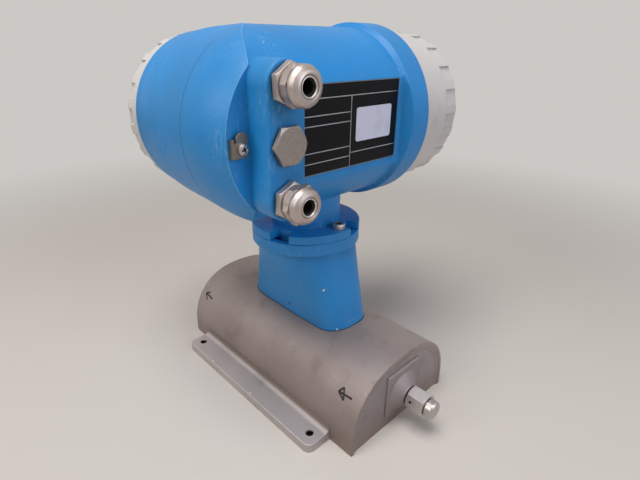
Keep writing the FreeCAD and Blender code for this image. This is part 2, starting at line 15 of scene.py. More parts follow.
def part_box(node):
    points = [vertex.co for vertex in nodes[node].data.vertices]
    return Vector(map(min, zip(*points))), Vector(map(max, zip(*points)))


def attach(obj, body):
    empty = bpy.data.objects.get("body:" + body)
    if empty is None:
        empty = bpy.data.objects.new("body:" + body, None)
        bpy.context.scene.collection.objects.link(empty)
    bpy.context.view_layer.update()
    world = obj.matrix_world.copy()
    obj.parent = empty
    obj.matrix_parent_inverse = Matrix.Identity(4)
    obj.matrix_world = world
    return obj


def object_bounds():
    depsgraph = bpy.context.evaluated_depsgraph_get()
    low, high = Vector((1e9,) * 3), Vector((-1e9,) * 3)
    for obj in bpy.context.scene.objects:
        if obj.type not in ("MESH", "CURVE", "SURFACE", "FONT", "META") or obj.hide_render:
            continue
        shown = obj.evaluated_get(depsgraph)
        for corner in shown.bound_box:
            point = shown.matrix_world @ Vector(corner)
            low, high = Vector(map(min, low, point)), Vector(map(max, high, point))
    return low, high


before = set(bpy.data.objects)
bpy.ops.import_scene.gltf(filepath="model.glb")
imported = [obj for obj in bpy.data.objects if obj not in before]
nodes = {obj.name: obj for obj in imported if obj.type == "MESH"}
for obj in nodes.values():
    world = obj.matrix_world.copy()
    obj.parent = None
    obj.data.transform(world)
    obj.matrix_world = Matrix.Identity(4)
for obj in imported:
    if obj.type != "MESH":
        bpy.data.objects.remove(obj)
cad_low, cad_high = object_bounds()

MM = 0.001

# %% [markdown]
# The camera comes first, because every later choice is judged through it. The photograph was
# taken with a phone from the front corner, a little above the meter, so the lens is wide.
# Its place and turn were found by matching the foot holes, the pipe and the barrels, and a
# camera's matrix is simply its right, up and backward directions as columns.

# %% Camera
CAMERA_AT = Vector((272.4, -250.1, 291.4)) * MM
CAMERA_YAW = math.radians(45.93)
CAMERA_DOWN = math.radians(24.04)
CAMERA_ROLL = math.radians(0.76)
IMAGE_WIDTH_PX = 640
FOCAL_PX = 449.4
SENSOR_MM = 36.0
CLIP_START = 0.01


def camera_axes(yaw, down, roll):
    """Right, up and back: back leans by the two angles, and roll turns the other two about it."""
    back = Vector((math.sin(yaw) * math.cos(down), -math.cos(yaw) * math.cos(down), math.sin(down)))
    level = Vector((math.cos(yaw), math.sin(yaw), 0))
    upright = back.cross(level)
    right = level * math.cos(roll) + upright * math.sin(roll)
    up = upright * math.cos(roll) - level * math.sin(roll)
    return right, up, back


scene = bpy.context.scene
lens = bpy.data.cameras.new("photo_lens")
lens.sensor_width = SENSOR_MM
lens.lens = SENSOR_MM * FOCAL_PX / IMAGE_WIDTH_PX
lens.clip_start = CLIP_START
camera = bpy.data.objects.new("photo_camera", lens)
scene.collection.objects.link(camera)
turn = Matrix(camera_axes(CAMERA_YAW, CAMERA_DOWN, CAMERA_ROLL)).transposed()
camera.matrix_world = Matrix.Translation(CAMERA_AT) @ turn.to_4x4()
scene.camera = camera
scene.view_settings.view_transform = "Standard"
print("lens:", round(lens.lens, 2), "mm")

# %% [markdown]
# Colours are written as sRGB hex values, as a paint chart gives them, but the renderer adds
# light in linear numbers, so one function converts. A second one adds a shader node, sets its
# inputs and links it in one call, which keeps each finish short enough to read at a glance.

# %% Colour and nodes


def linear(hex_code):
    """Each sRGB channel goes to linear light by the standard two-piece curve; alpha is 1."""
    srgb = np.array([int(hex_code[i : i + 2], 16) for i in (1, 3, 5)]) / 255
    light = np.where(srgb <= 0.04045, srgb / 12.92, ((srgb + 0.055) / 1.055) ** 2.4)
    return (*light.tolist(), 1.0)


def put(tree, kind, inputs=None, **settings):
    """Adds one node; an input is either a number to set or a socket to link from."""
    node = tree.nodes.new("ShaderNode" + kind)
    for key, value in settings.items():
        setattr(node, key, value)
    for key, value in (inputs or {}).items():
        if isinstance(value, bpy.types.NodeSocket):
            tree.links.new(value, node.inputs[key])
        else:
            node.inputs[key].default_value = value
    return node


def finish(name, **shader):
    """An empty material with a Principled shader, returned with its tree and Object coordinates."""
    material = bpy.data.materials.new(name)
    material.use_nodes = True
    tree = material.node_tree
    bsdf = tree.nodes["Principled BSDF"]
    for key, value in shader.items():
        bsdf.inputs[key.replace("_", " ").title().replace("Ior", "IOR")].default_value = value
    place = put(tree, "TexCoord").outputs["Object"]
    return material, tree, bsdf, place


def dress(material, *names):
    """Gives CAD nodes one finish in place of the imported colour."""
    for name in names:
        mesh = nodes[name].data
        mesh.materials.clear()
        mesh.materials.append(material)


print("mid grey in linear light:", round(linear("#808080")[0], 3))

# %% [markdown]
# Every finish below is made of the same four things: clouds of noise of one real size, a shade
# laid over a colour where such a cloud is dense, a fine relief that also softens sharp edges,
# and small balls of another shade for chips, specks and holes, where a hole's black is painted
# shade. A relief is written as a size and a depth in millimetres and a strength. Real grains are
# mostly too fine for this picture, so each is drawn coarser, as the step that uses it says.

# %% Pattern helpers
EDGE_MM = 0.5
BEVEL_SAMPLES = 4
RAGGED_MM = 0.9


def across(size_mm):
    """Texture scale at which one feature is about that many millimetres across."""
    return 1 / (size_mm * MM)


def cloud(tree, place, size_mm, low, high, detail=3.0):
    """Noise of one feature size, stretched so that low and high become 0 and 1."""
    noise = put(tree, "TexNoise", {"Vector": place, "Scale": across(size_mm), "Detail": detail})
    ramp = put(tree, "MapRange", {"Value": noise.outputs["Fac"], "From Min": low, "From Max": high})
    return ramp.outputs["Result"]


def over(tree, under, mask, shade, share=1.0):
    """Lays a shade over a colour, or a colour's socket, where the mask is 1; share is how much covers."""
    cover = put(tree, "Math", {0: mask, 1: share}, operation="MULTIPLY").outputs[0]
    return put(tree, "Mix", {0: cover, 6: under, 7: linear(shade)}, data_type="RGBA").outputs[2]


def grain(tree, place, bsdf, size_mm, depth_mm, strength=1.0, edge_mm=EDGE_MM):
    """Fine relief: noise height in millimetres, turned into a bump over edges that are softened
    by a small radius."""
    noise = put(tree, "TexNoise", {"Vector": place, "Scale": across(size_mm)})
    soft = put(tree, "Bevel", {"Radius": edge_mm * MM}, samples=BEVEL_SAMPLES)
    relief = {"Height": noise.outputs["Fac"], "Distance": depth_mm * MM, "Strength": strength}
    bump = put(tree, "Bump", {**relief, "Normal": soft.outputs["Normal"]})
    tree.links.new(bump.outputs["Normal"], bsdf.inputs["Normal"])


def marked(tree, place, colour, spot_mm, radius_mm, shade, ragged=0.0):
    """Colour with one small ball of another shade at a spot; ragged lets noise break the ball's edge."""
    noise = put(tree, "TexNoise", {"Vector": place, "Scale": across(RAGGED_MM), "Detail": 1.0})
    reach = {"To Min": (1 - ragged) * radius_mm * MM, "To Max": (1 + ragged) * radius_mm * MM}
    edge = put(tree, "MapRange", {"Value": noise.outputs["Fac"], **reach})
    apart = put(tree, "VectorMath", {0: place, 1: [v * MM for v in spot_mm]}, operation="DISTANCE")
    within = {0: apart.outputs["Value"], 1: edge.outputs["Result"]}
    inside = put(tree, "Math", within, operation="LESS_THAN")
    return over(tree, colour, inside.outputs[0], shade)


print("edges softened by", EDGE_MM, "mm")

# %% [markdown]
# The light is a plain studio: a soft lamp in front on the left, as in the photograph, a broad
# one overhead, and a weak, slightly cool one on the right. Each points at the middle of the
# meter, and its row is a place and a size in metres, a power in watts and a tint. All of it is
# stage, so none of it belongs to the meter.

# %% Lamps
CENTRE = (Vector(cad_low) + Vector(cad_high)) / 2
LAMPS = {
    "key_lamp": (Vector((-0.3, -1.3, 0.9)), 0.7, 5.4, "#FFFFFF"),
    "top_lamp": (Vector((0.15, -0.4, 1.45)), 0.8, 14.8, "#FFFFFF"),
    "fill_lamp": (Vector((1.3, 0.25, 0.8)), 0.8, 6.6, "#E4ECFF"),
}
for name, (place_at, size, watts, tint) in LAMPS.items():
    lamp = bpy.data.lights.new(name, "AREA")
    lamp.size = size
    lamp.energy = watts
    lamp.color = linear(tint)[:3]
    stand = bpy.data.objects.new(name, lamp)
    stand.location = place_at
    stand.rotation_euler = (CENTRE - place_at).to_track_quat("-Z", "Y").to_euler()
    scene.collection.objects.link(stand)
print("lamps:", ", ".join(LAMPS))

# %% [markdown]
# An even pale surround fills the shadows. The camera sees it brighter than it lights, and so
# do mirrors and glass: a ray's kind chooses between the two levels.

# %% Surround
SURROUND = linear("#E7E4E0")
SHOWN_LEVEL = 0.75
LIGHT_LEVEL = 0.19
world = bpy.data.worlds.new("studio")
world.use_nodes = True
scene.world = world
sky = world.node_tree
surround = sky.nodes["Background"]
surround.inputs["Color"].default_value = SURROUND
rays = put(sky, "LightPath").outputs
shown = rays["Is Camera Ray"]
for kind in ("Is Glossy Ray", "Is Transmission Ray"):
    shown = put(sky, "Math", {0: shown, 1: rays[kind]}, operation="MAXIMUM").outputs[0]
level = put(sky, "MapRange", {"Value": shown, "To Min": LIGHT_LEVEL, "To Max": SHOWN_LEVEL})
sky.links.new(level.outputs["Result"], surround.inputs["Strength"])
print("surround:", SHOWN_LEVEL, "as seen,", LIGHT_LEVEL, "as light")

# %% [markdown]
# The floor is a wide plain sheet, paper near the meter, that fades into the surround so that no
# horizon shows. Only the camera sees the fade, so the light on the meter stays the same.

# %% Floor
FLOOR_HALF = 4.0
FADE_FROM, FADE_TO = 0.35, 1.0
corners = np.array([(-1, -1, 0), (1, -1, 0), (1, 1, 0), (-1, 1, 0)]) * FLOOR_HALF
sheet = bpy.data.meshes.new("studio_floor")
sheet.from_pydata(corners.tolist(), [], [(0, 1, 2, 3)])
floor = bpy.data.objects.new("studio_floor", sheet)
scene.collection.objects.link(floor)
paper, tree, bsdf, place = finish("pale_backdrop_paper", roughness=0.9)
bsdf.inputs["Base Color"].default_value = linear("#D1C9C1")
away = put(tree, "VectorMath", {0: place}, operation="LENGTH").outputs["Value"]
fade = {"Value": away, "From Min": FADE_FROM, "From Max": FADE_TO}
fade = put(tree, "MapRange", fade, interpolation_type="SMOOTHSTEP").outputs["Result"]
seen = put(tree, "LightPath").outputs["Is Camera Ray"]
fade = put(tree, "Math", {0: fade, 1: seen}, operation="MULTIPLY").outputs[0]
glow = put(tree, "Emission", {"Color": SURROUND, "Strength": SHOWN_LEVEL}).outputs["Emission"]
mixed = put(tree, "MixShader", {0: fade, 1: bsdf.outputs["BSDF"], 2: glow})
tree.links.new(mixed.outputs["Shader"], tree.nodes["Material Output"].inputs["Surface"])
sheet.materials.append(paper)
print("floor:", 2 * FLOOR_HALF, "m")

# %% [markdown]
# Powder coat is a baked plastic skin on cast metal. The eye sees an even colour with a soft
# gloss, a faint orange peel where the powder flowed, and a little dirt and scuffing. The blue is
# on the housing and the column, the warm off-white on the two screwed covers. The peel on a real
# coat is about 1 mm across, and it is drawn at 1.5 mm so that it shows. Each noise is a size in
# millimetres, the low and high that become 0 and 1, and its detail.

# %% Powder coats
PEEL = (1.5, 0.03, 0.35)
COAT_EDGE_MM = 1.0
COAT_NOISE = {
    "drift": (60.0, 0.35, 0.68, 3.0),
    "patches": (26.0, 0.52, 0.72, 3.0),
    "specks": (2.6, 0.70, 0.76, 1.0),
    "scuffs": (1.1, 0.52, 0.76, 4.0),
}
SPECK_SHARE, SCUFF_SHARE = 0.55, 0.5
SCUFF_STRETCH = (1.0, 1.0, 0.18)
SCUFF_LEAN = (0.2, 0.35, 0.0)
CLEAN_GLOSS, DUSTY_GLOSS = -0.05, 0.1
CHIP_RAGGED = 0.5
BLUE = ("#1986CC", "#1C7DBC", "#9DB6C8", 0.48)
OFF_WHITE = ("#D3CECB", "#CAC5C2", "#8A8682", 0.42)


def powder_coat(name, fresh, aged, dirt, gloss, chips=()):
    """Colour drifts between fresh and aged in wide clouds, with dirt specks and scuffs in patches.
    Each chip is a place, a radius and a shade."""
    material, tree, bsdf, place = finish(name, roughness=gloss, ior=1.5)
    colour = over(tree, linear(fresh), cloud(tree, place, *COAT_NOISE["drift"]), aged)
    patches = cloud(tree, place, *COAT_NOISE["patches"])
    specks = cloud(tree, place, *COAT_NOISE["specks"])
    long_way = put(tree, "Mapping", {"Vector": place, "Scale": SCUFF_STRETCH, "Rotation": SCUFF_LEAN})
    scuffs = cloud(tree, long_way.outputs["Vector"], *COAT_NOISE["scuffs"])
    for marks, share in ((specks, SPECK_SHARE), (scuffs, SCUFF_SHARE)):
        sparse = put(tree, "Math", {0: marks, 1: patches}, operation="MULTIPLY").outputs[0]
        colour = over(tree, colour, sparse, dirt, share)
    for spot_mm, radius_mm, bare in chips:
        colour = marked(tree, place, colour, spot_mm, radius_mm, bare, CHIP_RAGGED)
    tree.links.new(colour, bsdf.inputs["Base Color"])
    rough = {"Value": patches, "To Min": gloss + CLEAN_GLOSS, "To Max": gloss + DUSTY_GLOSS}
    tree.links.new(put(tree, "MapRange", rough).outputs["Result"], bsdf.inputs["Roughness"])
    grain(tree, place, bsdf, *PEEL, COAT_EDGE_MM)
    return material


blue_coat = powder_coat("blue_powder_coat", *BLUE)
dress(blue_coat, "transmitter_housing")
white_coat = powder_coat("off_white_powder_coat", *OFF_WHITE)
dress(white_coat, "display_cover", "terminal_cover")
print("coats:", blue_coat.name, white_coat.name)

# %% [markdown]
# The column has three small marks of use: two chips through to bare metal and a pinhole, whose black is
# painted shade.
# Each is a ball of a millimetre or so in Object coordinates, its edge broken by noise, so it
# stays on the same spot of the column from every side.

# %% Column with chips
CHIPS = {
    "chip_on_corner": ((42.6, -22.5, 101.4), 1.1, "#C9C6C0"),
    "chip_on_foot": ((54.6, -17.4, 66.2), 1.0, "#D5D3CE"),
    # The pinhole's near-black is painted shade of the hole.
    "pinhole": ((4.3, -27.8, 73.4), 1.5, "#02060A"),
}
column_coat = powder_coat("blue_column_coat", *BLUE, chips=CHIPS.values())
dress(column_coat, "pedestal")
print("column:", ", ".join(CHIPS))

# %% [markdown]
# The sensor is stainless sheet and plate, welded, then bead-blasted and pickled. That gives
# a grey-brown metal with no mirror at all: wide soft highlights, cloudy stains, a fine grain
# and a few bright scratches. A dull oxide film is why it is only partly metallic here. Low down,
# near where the feet are welded on, the colour turns browner: partly heat tint, and partly
# painted shade in the hollow where shell and foot meet. The foot holes are drawn black because
# little light comes out of them, and one foot has two small white specks on its edge. A blasted
# grain is about 0.2 mm across, and it is drawn at 0.8 mm so that it shows.

# %% Blasted steel
STEEL_NOISE = {
    "wide": (75.0, 0.32, 0.68, 3.0),
    "stains": (17.0, 0.56, 0.74, 5.0),
    "scratches": (1.2, 0.77, 0.80, 0.0),
}
STAIN_SHADE, STAIN_SHARE = "#6E625B", 0.3
SCRATCH_SHADE, SCRATCH_SHARE = "#C9C4BC", 0.18
SCRATCH_STRETCH = (0.06, 1.0, 1.0)
SCRATCH_LEAN = (0.3, 0.2, 0.35)
STEEL_ROUGH = {"To Min": 0.55, "To Max": 0.66}
BLAST = (0.8, 0.03, 0.4)
WELD_BROWN = "#7C6C64"
SPOT_RAGGED = 0.2
HOLE_SPOT = (5.2, "#151311")
PAINT_SPOT = (0.9, "#E6E3DF")
FOOT_SPOTS = [((x, y, 2.5), *HOLE_SPOT) for x in (-80.0, 80.0) for y in (-72.5, 72.5)]
# Two small white specks on the edge of one foot.
FOOT_SPOTS += [((-47.0, -81.9, 8.0), *PAINT_SPOT), ((12.2, -81.1, 8.0), *PAINT_SPOT)]


def blasted_steel(name, clean, brown, weld_band, spots=()):
    """Metal whose colour drifts clean to brown, with a fine blasted grain and sparse long scratches.
    The tint and shade band is two heights in millimetres, between which the colour turns browner, partly
    heat tint and partly painted shade, and how much.
    Each spot is a place, a radius and a shade."""
    material, tree, bsdf, place = finish(name, metallic=0.72, roughness=0.6)
    wide = cloud(tree, place, *STEEL_NOISE["wide"])
    colour = over(tree, linear(clean), wide, brown)
    stains = cloud(tree, place, *STEEL_NOISE["stains"])
    colour = over(tree, colour, stains, STAIN_SHADE, STAIN_SHARE)
    long_way = {"Vector": place, "Scale": SCRATCH_STRETCH, "Rotation": SCRATCH_LEAN}
    long_way = put(tree, "Mapping", long_way).outputs["Vector"]
    scratches = cloud(tree, long_way, *STEEL_NOISE["scratches"])
    colour = over(tree, colour, scratches, SCRATCH_SHADE, SCRATCH_SHARE)
    # Browner low down: heat tint, and painted shade in the hollow by the foot.
    height = put(tree, "SeparateXYZ", {0: place}).outputs["Z"]
    start, full, share = weld_band
    heat = put(tree, "MapRange", {"Value": height, "From Min": start * MM, "From Max": full * MM})
    colour = over(tree, colour, heat.outputs["Result"], WELD_BROWN, share)
    for spot_mm, radius_mm, shade in spots:
        colour = marked(tree, place, colour, spot_mm, radius_mm, shade, SPOT_RAGGED)
    tree.links.new(colour, bsdf.inputs["Base Color"])
    rough = put(tree, "MapRange", {"Value": wide, **STEEL_ROUGH})
    tree.links.new(rough.outputs["Result"], bsdf.inputs["Roughness"])
    grain(tree, place, bsdf, *BLAST)
    return material


sensor_steel = blasted_steel("bead_blasted_stainless", "#A79A96", "#988A85", (26.0, 12.0, 0.35))
dress(sensor_steel, "sensor_shell", "base_plate")
foot_band = (8.8, 10.4, 0.9)
foot_steel = blasted_steel("pickled_plate_stainless", "#C2BAB9", "#B2AAA8", foot_band, FOOT_SPOTS)
dress(foot_steel, "foot_near", "foot_far")
end_steel = blasted_steel("ground_plate_stainless", "#A79D9D", "#988E8E", (30.0, 10.0, 0.4))
dress(end_steel, "end_plate_inlet", "end_plate_outlet", "inlet_block", "outlet_block")
print("blasted:", sensor_steel.name, foot_steel.name, end_steel.name)

# %% [markdown]
# Machined fittings are the same steel with a turned shine: fine tool rings round their axis.
# The noise is stretched so that it hardly changes round that axis. Real rings are about 0.1 mm
# apart, and they are drawn at 0.7 mm so that they show. The leak holes and the drive recesses
# of the screws are black balls: painted shade for the dark inside of a hole.

# %% Turned steel
TOOL_MARK_MM = 0.7
TOOL_DEPTH_MM = 0.008
TOOL_RANGE = (0.3, 0.7)
BRIGHT_SHINE, DULL_SHINE = -0.06, 0.1
HOLE_BLACK = "#060606"
LEAK_HOLES = [((side * 127.5, -8.7, 30.9), 1.15) for side in (1, -1)]
GROUND_RECESS = ((54.9, -102.3, 232.5), 1.6)
FLANGE_RECESSES = [((38.5, -2.7, 151.7), 3.0), ((-38.5, -5.3, 151.7), 3.0)]
ROUND_X = (1.0, 0.1, 0.1)
ROUND_Z = (1.0, 1.0, 0.2)
EVEN = (1.0, 1.0, 1.0)


def turned_steel(name, tint, axis_scale, shine, relief=0.2, holes=()):
    """Bright metal with tool rings: noise stretched so that it hardly changes round the axis.
    Each hole is a place in millimetres and a radius inside which the metal is painted black, as shade."""
    material, tree, bsdf, place = finish(name, metallic=1.0, roughness=shine)
    colour = linear(tint)
    bsdf.inputs["Base Color"].default_value = colour
    # Each hole's black is painted shade for its dark inside.
    for spot_mm, radius_mm in holes:
        colour = marked(tree, place, colour, spot_mm, radius_mm, HOLE_BLACK)
    if holes:
        tree.links.new(colour, bsdf.inputs["Base Color"])
    rings = put(tree, "Mapping", {"Vector": place, "Scale": axis_scale}).outputs["Vector"]
    marks = cloud(tree, rings, TOOL_MARK_MM, *TOOL_RANGE)
    rough = {"Value": marks, "To Min": shine + BRIGHT_SHINE, "To Max": shine + DULL_SHINE}
    tree.links.new(put(tree, "MapRange", rough).outputs["Result"], bsdf.inputs["Roughness"])
    grain(tree, rings, bsdf, TOOL_MARK_MM, TOOL_DEPTH_MM, relief)
    return material


fitting_steel = turned_steel("turned_stainless", "#BAB4B0", ROUND_X, 0.34, relief=0.04)
dress(fitting_steel, "inlet_plug", "outlet_plug", "feedthrough", "measuring_tube")
dress(fitting_steel, "inlet_support", "outlet_support", "coil_carrier", "temperature_sensor")
nut_steel = turned_steel("satin_stainless", "#C6C0BE", ROUND_X, 0.4, relief=0.03, holes=LEAK_HOLES)
dress(nut_steel, "inlet_nut", "outlet_nut")
recesses = [GROUND_RECESS, *FLANGE_RECESSES]
screw_steel = turned_steel("bright_screw_steel", "#B9B1AB", ROUND_Z, 0.33, holes=recesses)
dress(screw_steel, "flange_screws", "ground_screw")
clamp_steel = turned_steel("brown_clamp_steel", "#8F8478", ROUND_Z, 0.36)
dress(clamp_steel, "ground_bracket")
print("turned:", fitting_steel.name, nut_steel.name, screw_steel.name, clamp_steel.name)

# %% [markdown]
# The cable glands are brass with nickel plate, a warm yellow-white metal that is smooth on
# the turned dome and dull on the blind plug, whose cast face was only tumbled. The tumbled grain
# is drawn at 0.7 mm, a few times coarser than it is, so that it shows.

# %% Nickel plate
GLANDS = ("upper", "lower")
TUMBLED = (0.7, 0.03, 0.3)
gland_nickel = turned_steel("nickel_plated_brass", "#BDB1AB", (1.0, 0.12, 0.12), 0.4)
for side in GLANDS:
    dress(gland_nickel, side + "_gland_body", side + "_gland_cap", side + "_gland_claw")
dull_nickel, tree, bsdf, place = finish("tumbled_nickel_plate", metallic=1.0, roughness=0.42)
dull = cloud(tree, place, size_mm=1.0, low=0.35, high=0.7)
tree.links.new(over(tree, linear("#AAA09A"), dull, "#9A918B"), bsdf.inputs["Base Color"])
grain(tree, place, bsdf, *TUMBLED)
dress(dull_nickel, "blind_plug")
print("nickel:", gland_nickel.name, dull_nickel.name)

# %% [markdown]
# Seals are black rubber: dull, almost no colour, with a moulding bloom. The electronics are
# only seen through the window or with a cover off, but each still gets its own plastic. The matt
# grain of a mould is about 0.1 mm across, and it is drawn at 0.6 mm so that it shows.

# %% Rubber and plastics
MOULD_GRAIN = (0.6, 0.02, 0.3)
MOULD_RANGE = (0.35, 0.7)


def moulded(name, dark, light, gloss, size_mm=3.0):
    """Moulded material: two near shades in clouds over a fine matt grain."""
    material, tree, bsdf, place = finish(name, roughness=gloss, ior=1.5)
    shade = cloud(tree, place, size_mm, *MOULD_RANGE)
    tree.links.new(over(tree, linear(dark), shade, light), bsdf.inputs["Base Color"])
    grain(tree, place, bsdf, *MOULD_GRAIN)
    return material


rubber = moulded("black_seal_rubber", "#121212", "#1E1D1C", 0.65)
dress(rubber, "inlet_ring", "outlet_ring", "swivel_oring")
dress(rubber, "display_oring", "terminal_oring", "blind_plug_oring")
for side in GLANDS:
    dress(rubber, side + "_gland_seal", side + "_gland_oring")
black_plastic = moulded("black_module_plastic", "#17181A", "#202225", 0.5)
dress(black_plastic, "module_carrier", "display_module", "window_ring")
solder_mask = moulded("green_solder_mask", "#1E5A38", "#2B7048", 0.35, size_mm=1.5)
dress(solder_mask, "io_board", "amplifier_board", "power_board")
polyamide = moulded("grey_green_polyamide", "#66735F", "#76836E", 0.5)
dress(polyamide, "terminal_block")
magnet = moulded("sintered_magnet", "#3A3A3C", "#4A4A4D", 0.4)
dress(magnet, "drive_magnet", "pickoff_inlet_magnet", "pickoff_outlet_magnet")
print("moulded:", rubber.name, black_plastic.name, solder_mask.name, polyamide.name, magnet.name)

# %% [markdown]
# The coils are varnished copper wire. Bright and dark bands run round them, painted highlight and
# painted shade of the round turns, drawn wide enough to show. The window is plain glass with a faint haze.

# %% Copper and glass
WINDING_MM = 6.0
HAZE = {"To Min": 0.02, "To Max": 0.07}
copper, tree, bsdf, place = finish("varnished_copper_wire", metallic=1.0, roughness=0.35)
# Painted highlight and shade of the wire's turns, as bands.
bands = put(tree, "TexWave", {"Vector": place, "Scale": across(WINDING_MM)}, bands_direction="Z")
wire = over(tree, linear("#7A3F1E"), bands.outputs["Fac"], "#B4683A")
tree.links.new(wire, bsdf.inputs["Base Color"])
dress(copper, "drive_coil", "pickoff_inlet_coil", "pickoff_outlet_coil")
window, tree, bsdf, place = finish("window_glass", roughness=0.03, ior=1.5, transmission_weight=1.0)
film = cloud(tree, place, size_mm=30.0, low=0.4, high=0.7)
haze = put(tree, "MapRange", {"Value": film, **HAZE})
tree.links.new(haze.outputs["Result"], bsdf.inputs["Roughness"])
dress(window, "window_glass")
print("copper and glass:", copper.name, window.name)

# %% [markdown]
# The nameplate is aluminium with black print, and the label on it is white film. Both stay
# bare here. The print's faint ripple is drawn at 1 mm so that it shows.

# %% Plate and label
PRINT_GRAIN = (1.0, 0.01, 0.3)
plate_black, tree, bsdf, place = finish("black_printed_aluminium", roughness=0.38, specular_ior_level=0.2)
worn = cloud(tree, place, size_mm=9.0, low=0.5, high=0.75, detail=6.0)
tree.links.new(over(tree, linear("#08080C"), worn, "#0F0F14"), bsdf.inputs["Base Color"])
grain(tree, place, bsdf, *PRINT_GRAIN)
dress(plate_black, "nameplate")
label_film, tree, bsdf, place = finish("white_label_film", roughness=0.4, ior=1.45)
soiled = cloud(tree, place, size_mm=12.0, low=0.5, high=0.8)
tree.links.new(over(tree, linear("#D2D4E6"), soiled, "#C2C2CF"), bsdf.inputs["Base Color"])
dress(label_film, "label")
print("plates:", plate_black.name, label_film.name)

# %% [markdown]
# Thin marks such as the plate's white rules are modelled, not painted: each is a small grid
# surface of its own, so it also stands in the exported mesh. Most are a little flat oval that
# is carried along a path, so one function makes the grid and another turns it into a piece.

# %% Grid surfaces


def skin(name, points, material, body, ring=True, loop=False):
    """Mesh from an array of rows x columns x 3: each small square of the grid is one face.
    A ring joins the last column to the first, and a loop joins the last row to the first."""
    rows, columns = points.shape[:2]
    index = np.arange(rows * columns).reshape(rows, columns)
    if ring:
        index = np.concatenate([index, index[:, :1]], axis=1)
    if loop:
        index = np.concatenate([index, index[:1]], axis=0)
    quads = np.stack([index[:-1, :-1], index[:-1, 1:], index[1:, 1:], index[1:, :-1]], axis=-1)
    mesh = bpy.data.meshes.new(name)
    mesh.from_pydata(points.reshape(-1, 3).tolist(), [], quads.reshape(-1, 4).tolist())
    mesh.materials.append(material)
    mesh.shade_smooth()
    piece = bpy.data.objects.new(name, mesh)
    scene.collection.objects.link(piece)
    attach(piece, body)
    return piece


def unit(vectors):
    """Each vector over its own length."""
    return vectors / np.linalg.norm(vectors, axis=-1, keepdims=True)


def capped(rings):
    """Rings with one more at each end, all of whose points are the end ring's middle, to close it."""
    middles = np.repeat(rings.mean(axis=1, keepdims=True), rings.shape[1], axis=1)
    return np.concatenate([middles[:1], rings, middles[-1:]])


def swept(path, rise, profile, loop=False):
    """A profile of (side, rise) points carried along a path: each ring is the path's point plus the
    profile in the plane of rise and of rise cross tangent. Open ends close on their middle."""
    if loop:
        ahead = np.roll(path, -1, axis=0) - np.roll(path, 1, axis=0)
    else:
        ahead = np.gradient(path, axis=0)
    rise = unit(rise)
    side = unit(np.cross(rise, unit(ahead)))
    rings = path[:, None] + side[:, None] * profile[None, :, :1] + rise[:, None] * profile[None, :, 1:]
    return rings if loop else capped(rings)


print("grid surfaces: skin, unit, capped, swept")

# %% [markdown]
# The outlines that are carried, or followed, come from three small functions: a flat oval, a
# rounded oblong, and directions round the X axis.

# %% Outlines


def ribbon(width, height, points=8):
    """Half-sunk flat oval of that width and height, as (side, rise) points."""
    angle = np.linspace(0, 2 * np.pi, points, endpoint=False)
    return np.stack([np.cos(angle) * width / 2, np.sin(angle) * height], axis=1)


def oblong_outline(half, corner, count):
    """Rounded oblong, anticlockwise from the low end of its right side: four sides and four corner
    arcs, each with count points; half is its half width and half height, and corner the arcs' radius."""
    run = np.linspace(0, 1, count, endpoint=False)
    inner = np.array(half) - corner
    parts = []
    for quarter in range(4):
        turn_by = np.radians(90 * quarter)
        facing = np.array([np.cos(turn_by), np.sin(turn_by)])
        along = np.array([-facing[1], facing[0]])
        reach = facing * corner + facing * inner
        half_side = np.abs(along) @ inner
        parts.append(reach + along * ((2 * run - 1) * half_side)[:, None])
        arc = turn_by + run * np.pi / 2
        centre = (facing + along) * inner
        parts.append(centre + corner * np.stack([np.cos(arc), np.sin(arc)], axis=1))
    return np.concatenate(parts)


def spokes(angle):
    """Unit directions across X: the cosine of each angle along Y and its sine along Z."""
    return np.stack([np.zeros_like(angle), np.cos(angle), np.sin(angle)], axis=1)


def box_of(name):
    """Low and high corner of a CAD node as arrays."""
    return [np.array(corner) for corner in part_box(name)]


TOWARDS_X = np.array([1.0, 0.0, 0.0])
TOWARDS_Z = np.array([0.0, 0.0, 1.0])
MIRROR_Y = np.array([1.0, -1.0, 1.0])
AXIS_Z = (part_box("display_cover")[0][2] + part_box("display_cover")[1][2]) / 2
print("barrel axis at", round(AXIS_Z / MM, 1), "mm")

# %% [markdown]
# The plate's dividing rules lie on its flat face, some across the whole plate and some only
# to one side of the upright divider. The plate's own box gives the face and the two ends.

# %% Rules on the nameplate
RULE_WIDTH = 0.7 * MM
RULE_HEIGHT = 0.06 * MM
RULE_STEPS = 12
DIVIDER_Y = -14.8 * MM
DIVIDER_END_Z = 208.6 * MM
PLATE_MARGIN = 1.3 * MM
plate_low, plate_high = box_of("nameplate")
plate_start, plate_end = plate_low[1] + PLATE_MARGIN, plate_high[1] - PLATE_MARGIN
RULES = {257.3: (plate_start, plate_end), 218.2: (DIVIDER_Y, plate_end)}
RULES.update({height: (plate_start, DIVIDER_Y) for height in (246.6, 240.3, 223.0, 216.0)})
plate_ink = moulded("grey_white_print", "#A9A9AC", "#B9B9BC", 0.5)


def plate_rule(name, start, end):
    """A straight rule between two (y, z) places of the plate's face, raised towards +X."""
    run = np.linspace(start, end, RULE_STEPS)
    path = np.column_stack([np.full(RULE_STEPS, plate_high[0]), run])
    out = np.tile(TOWARDS_X, (RULE_STEPS, 1))
    rule = swept(path, out, ribbon(RULE_WIDTH, RULE_HEIGHT))
    return skin(name, rule, plate_ink, "transmitter")


for number, (height, (left, right)) in enumerate(RULES.items(), 1):
    plate_rule(f"plate_rule_{number}", (left, height * MM), (right, height * MM))
plate_rule("plate_divider", (DIVIDER_Y, max(RULES) * MM), (DIVIDER_Y, DIVIDER_END_Z))
print("plate rules:", len(RULES) + 1)
